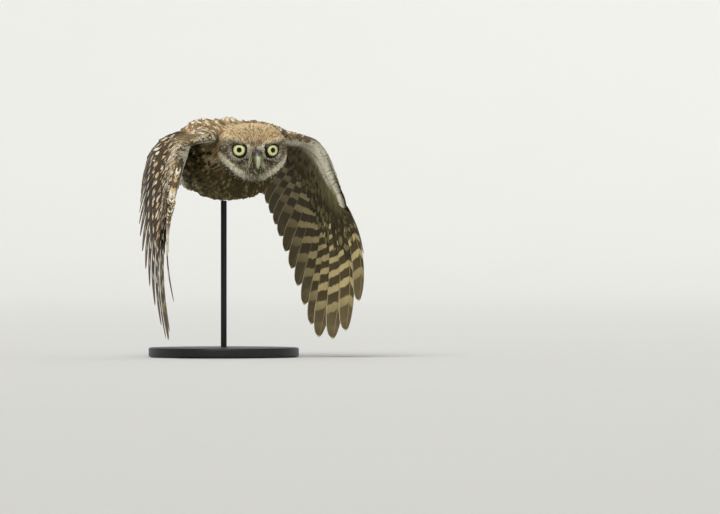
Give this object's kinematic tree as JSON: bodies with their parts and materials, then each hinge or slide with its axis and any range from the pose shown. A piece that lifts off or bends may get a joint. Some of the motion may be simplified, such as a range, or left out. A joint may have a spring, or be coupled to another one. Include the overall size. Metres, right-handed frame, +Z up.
{
  "type": "little owl model",
  "caption": "Life-size little owl in level flight, wings hanging at the bottom of the beat, on a plain round display stand.",
  "frame": {"origin": "centre of the underside of the stand's base", "axes": "+Z up; the owl flies towards -Y, so its left wing is on +X and its tail on +Y"},
  "size_m": [0.1934, 0.2185, 0.2077],
  "materials": {
    "crown_feathers": "soft, matt",
    "body_feathers": "soft, matt",
    "wing_feathers": "matt with a slight sheen",
    "leg_feathers": "soft, matt",
    "bill": "smooth horn",
    "eye": "wet gloss",
    "claw": "smooth horn",
    "stand": "satin black"
  },
  "bodies": {
    "root": {"head": "crown_feathers", "neck": "body_feathers", "torso": "body_feathers", "tail": "wing_feathers", "bill_upper": "bill", "bill_lower": "bill", "eye_left": "eye", "eye_right": "eye", "wing_left_arm": "wing_feathers", "wing_left_forearm": "wing_feathers", "wing_left_hand": "wing_feathers", "wing_right_arm": "wing_feathers", "wing_right_forearm": "wing_feathers", "wing_right_hand": "wing_feathers", "leg_left": "leg_feathers", "leg_right": "leg_feathers", "foot_left": "leg_feathers", "foot_right": "leg_feathers", "claw_left_1": "claw", "claw_left_2": "claw", "claw_left_3": "claw", "claw_left_4": "claw", "claw_right_1": "claw", "claw_right_2": "claw", "claw_right_3": "claw", "claw_right_4": "claw", "stand_base": "stand", "stand_rod": "stand"}
  },
  "joints": []
}
